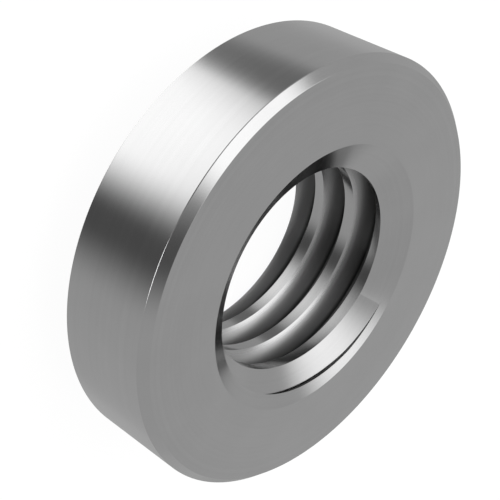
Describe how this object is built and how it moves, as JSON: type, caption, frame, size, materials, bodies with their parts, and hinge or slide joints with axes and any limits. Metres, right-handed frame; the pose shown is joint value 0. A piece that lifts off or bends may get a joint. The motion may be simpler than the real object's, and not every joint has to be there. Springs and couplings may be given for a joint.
{
  "type": "self clinching nut",
  "caption": "Round press-in nut with a threaded through hole, a serrated ring, an undercut and a short shank, pressed into a hole in sheet metal to hold a machine screw.",
  "frame": {"origin": "centre of the shank's end face, which the nut stands on", "axes": "+Z along the thread's axis, from the shank's end to the plain chamfered face of the body"},
  "size_m": [0.0088, 0.0086, 0.003],
  "materials": {
    "turned_steel": "bright turned steel"
  },
  "bodies": {
    "root": {"clinch_nut": "turned_steel"}
  },
  "joints": []
}
